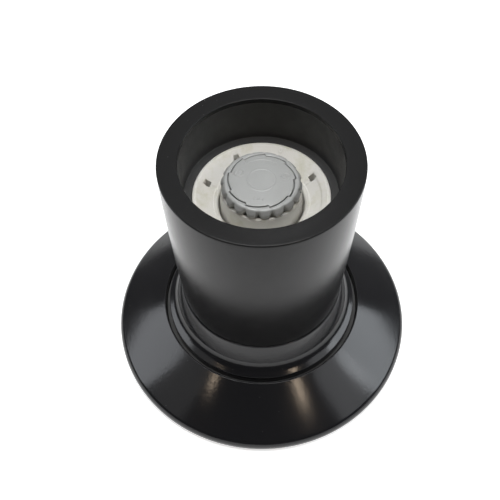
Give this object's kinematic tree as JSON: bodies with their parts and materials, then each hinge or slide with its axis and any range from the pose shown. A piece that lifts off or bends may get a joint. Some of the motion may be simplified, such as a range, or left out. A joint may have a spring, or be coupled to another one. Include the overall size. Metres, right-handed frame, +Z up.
{
  "type": "spice mill",
  "caption": "Hand spice mill standing on its wide glossy head: flared matt barrel, ceramic burr mechanism in a recess, fluted grind adjuster.",
  "frame": {"origin": "centre of the resting face under the head", "axes": "+Z up along the mill's axis from the head to the grinder end; -Y is the side that faces the viewer; X is to the viewer's right"},
  "size_m": [0.11, 0.11, 0.0926],
  "materials": {
    "matt_black": "satin soft-touch coat",
    "matt_black_liner": "fine matt moulded",
    "gloss_black": "high gloss lacquer",
    "structure_black": "moulded matt",
    "seal_rubber": "smooth",
    "foot_rubber": "matt non-slip",
    "bearing_plastic": "smooth low-friction",
    "screw_steel": "zinc plated",
    "shaft_metal": "extruded",
    "spring_steel": "bright",
    "white_plastic": "semi-gloss off-white",
    "burr_ceramic": "unglazed sintered",
    "knob_grey": "semi-gloss, slightly translucent",
    "insert_brass": "turned"
  },
  "bodies": {
    "head": {"head_ring": "gloss_black", "collar": "gloss_black", "head_hub": "structure_black", "neck_o_ring": "seal_rubber", "shaft_socket": "bearing_plastic", "head_base": "structure_black", "base_ring": "foot_rubber", "collar_screws": "screw_steel", "socket_screws": "screw_steel", "base_screws": "screw_steel"},
    "drive": {"drive_shaft": "shaft_metal", "shaft_clip": "spring_steel", "thrust_washer": "bearing_plastic", "spring_seat_washer": "spring_steel", "preload_spring": "spring_steel"},
    "barrel": {"barrel_shell": "matt_black", "barrel_liner": "matt_black_liner", "barrel_foot_ring": "structure_black", "glide_ring": "bearing_plastic", "mechanism_housing": "white_plastic", "stator_ring": "burr_ceramic", "stator_retainer": "white_plastic", "shaft_bridge": "white_plastic"},
    "rotor": {"rotor_carrier": "white_plastic", "rotor_cone": "burr_ceramic", "breaker_wheel": "burr_ceramic", "click_spring": "spring_steel"},
    "adjuster": {"adjuster_wheel": "knob_grey", "adjuster_nut": "insert_brass", "adjuster_cap": "knob_grey"}
  },
  "joints": [
    {"name": "head_lift", "type": "slide", "parent": "head", "child": "drive", "axis": [0, 0, 1], "range_m": [0, 0.06]},
    {"name": "grind_turn", "type": "hinge", "parent": "drive", "child": "barrel", "pos_m": [0, 0, 0.05], "axis": [0, 0, 1], "continuous": true},
    {"name": "rotor_shift", "type": "slide", "parent": "drive", "child": "rotor", "axis": [0, 0, 1], "range_m": [-0.0002625, 0.0002625], "deforming": ["preload_spring"]},
    {"name": "grind_adjust", "type": "hinge", "parent": "rotor", "child": "adjuster", "pos_m": [0, 0, 0.08], "axis": [0, 0, 1], "range_deg": [-135, 135]}
  ],
  "couplings": [
    {"joint": "grind_adjust", "follows": "rotor_shift", "rad_per_m": 8976}
  ]
}
